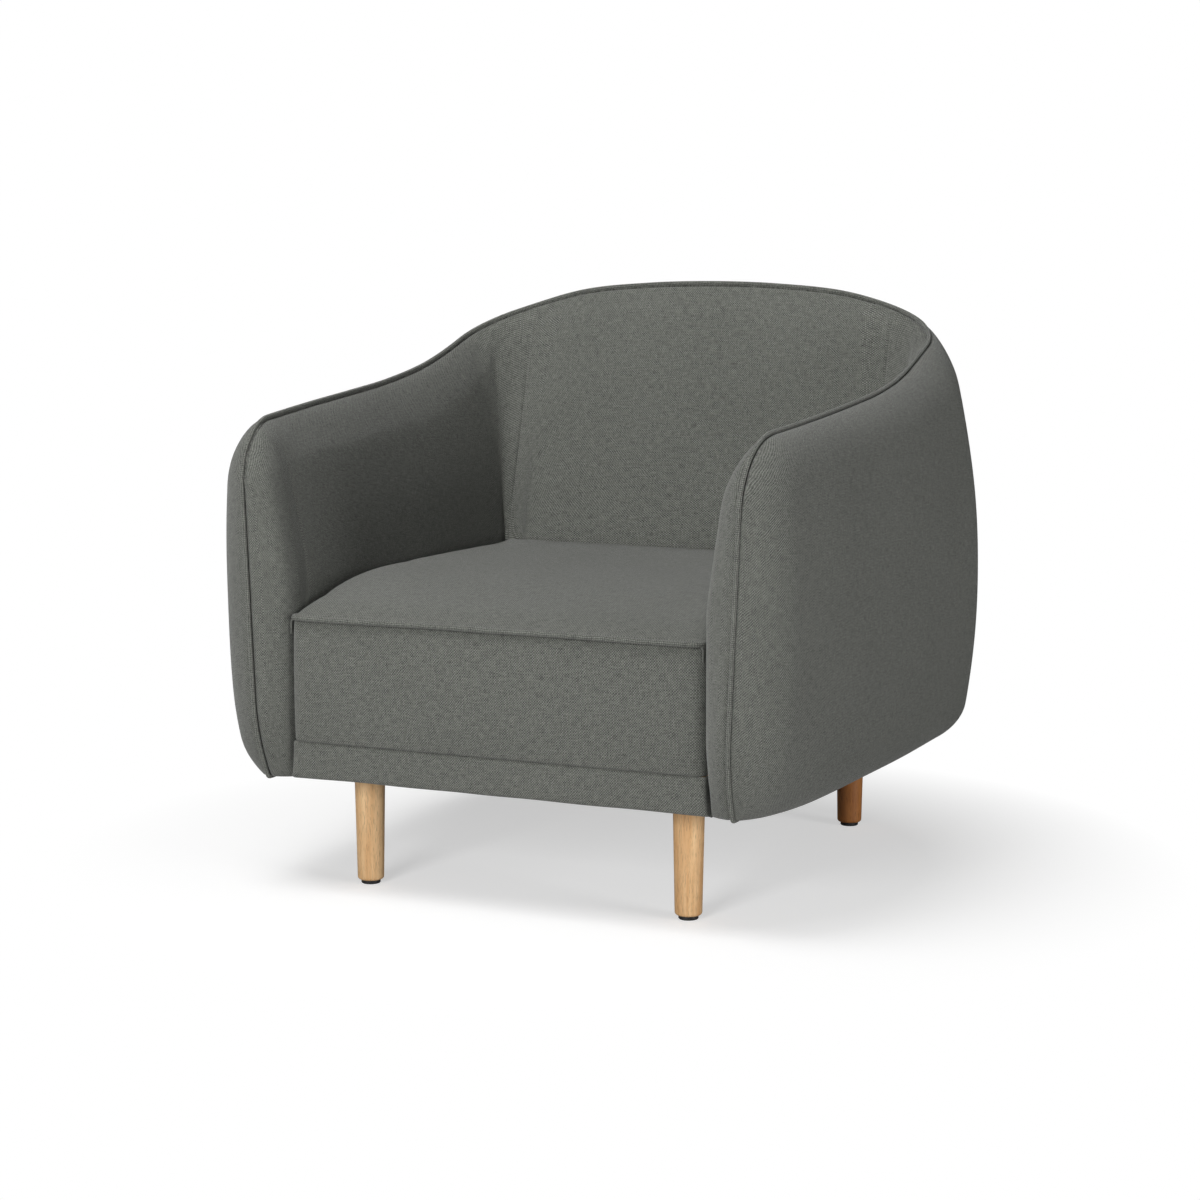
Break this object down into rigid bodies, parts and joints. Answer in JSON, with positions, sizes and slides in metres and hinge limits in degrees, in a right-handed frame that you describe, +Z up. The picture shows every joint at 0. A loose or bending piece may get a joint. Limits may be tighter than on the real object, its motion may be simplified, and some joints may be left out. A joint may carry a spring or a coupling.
{
  "type": "upholstered armchair",
  "caption": "Upholstered tub armchair with a piped seam round the arms and back, a tight seat and turned wooden legs.",
  "frame": {"origin": "centre of the chair's footprint box, on the floor under the glides", "axes": "+Z up, the seat's front faces -Y, +X to the right for someone who looks at the back from the front"},
  "size_m": [0.852, 0.818, 0.7757],
  "materials": {
    "leg_wood": "clear satin lacquer over pale beech",
    "glide_plastic": "moulded",
    "zinc_steel": "zinc plated",
    "frame_wood": "planed, unfinished",
    "plywood": "sawn birch plywood",
    "webbing": "woven elastic",
    "board": "pressed fibre board",
    "wadding": "bonded polyester",
    "foam": "cut polyurethane foam",
    "felt": "needled felt",
    "dust_cloth": "spun-bonded cloth",
    "upholstery": "flat weave, warm dark grey heather"
  },
  "bodies": {
    "root": {"leg_front_left": "leg_wood", "leg_front_right": "leg_wood", "leg_back_left": "leg_wood", "leg_back_right": "leg_wood", "glide_front_left": "glide_plastic", "glide_front_right": "glide_plastic", "glide_back_left": "glide_plastic", "glide_back_right": "glide_plastic", "hanger_bolts": "zinc_steel", "t_nuts": "zinc_steel", "front_rail": "frame_wood", "back_rail": "frame_wood", "side_rail_left": "frame_wood", "side_rail_right": "frame_wood", "corner_block_front_left": "frame_wood", "corner_block_front_right": "frame_wood", "corner_block_back_left": "frame_wood", "corner_block_back_right": "frame_wood", "corner_screws": "zinc_steel", "rail_dowels": "frame_wood", "arm_panel_left": "plywood", "arm_panel_right": "plywood", "arm_rib_left": "plywood", "arm_rib_right": "plywood", "arm_top_rail_left": "plywood", "arm_top_rail_right": "plywood", "back_rib_outer_left": "plywood", "back_rib_inner_left": "plywood", "back_rib_inner_right": "plywood", "back_rib_outer_right": "plywood", "back_top_rail": "plywood", "back_webbing": "webbing", "outside_board_left": "board", "outside_board_right": "board", "outside_board_back": "board", "outside_padding_left": "wadding", "outside_padding_right": "wadding", "outside_padding_back": "wadding", "arm_foam_left": "foam", "arm_foam_right": "foam", "back_foam": "foam", "seat_springs": "zinc_steel", "spring_clips": "zinc_steel", "spring_pad": "felt", "seat_foam": "foam", "inside_arm_cover_left": "upholstery", "inside_arm_cover_right": "upholstery", "inside_back_cover": "upholstery", "outside_arm_cover_left": "upholstery", "outside_arm_cover_right": "upholstery", "outside_back_cover": "upholstery", "seat_cover": "upholstery", "seat_boxing": "upholstery", "front_band": "upholstery", "seat_welt": "upholstery", "main_welt": "upholstery", "dust_cover": "dust_cloth"}
  },
  "joints": []
}
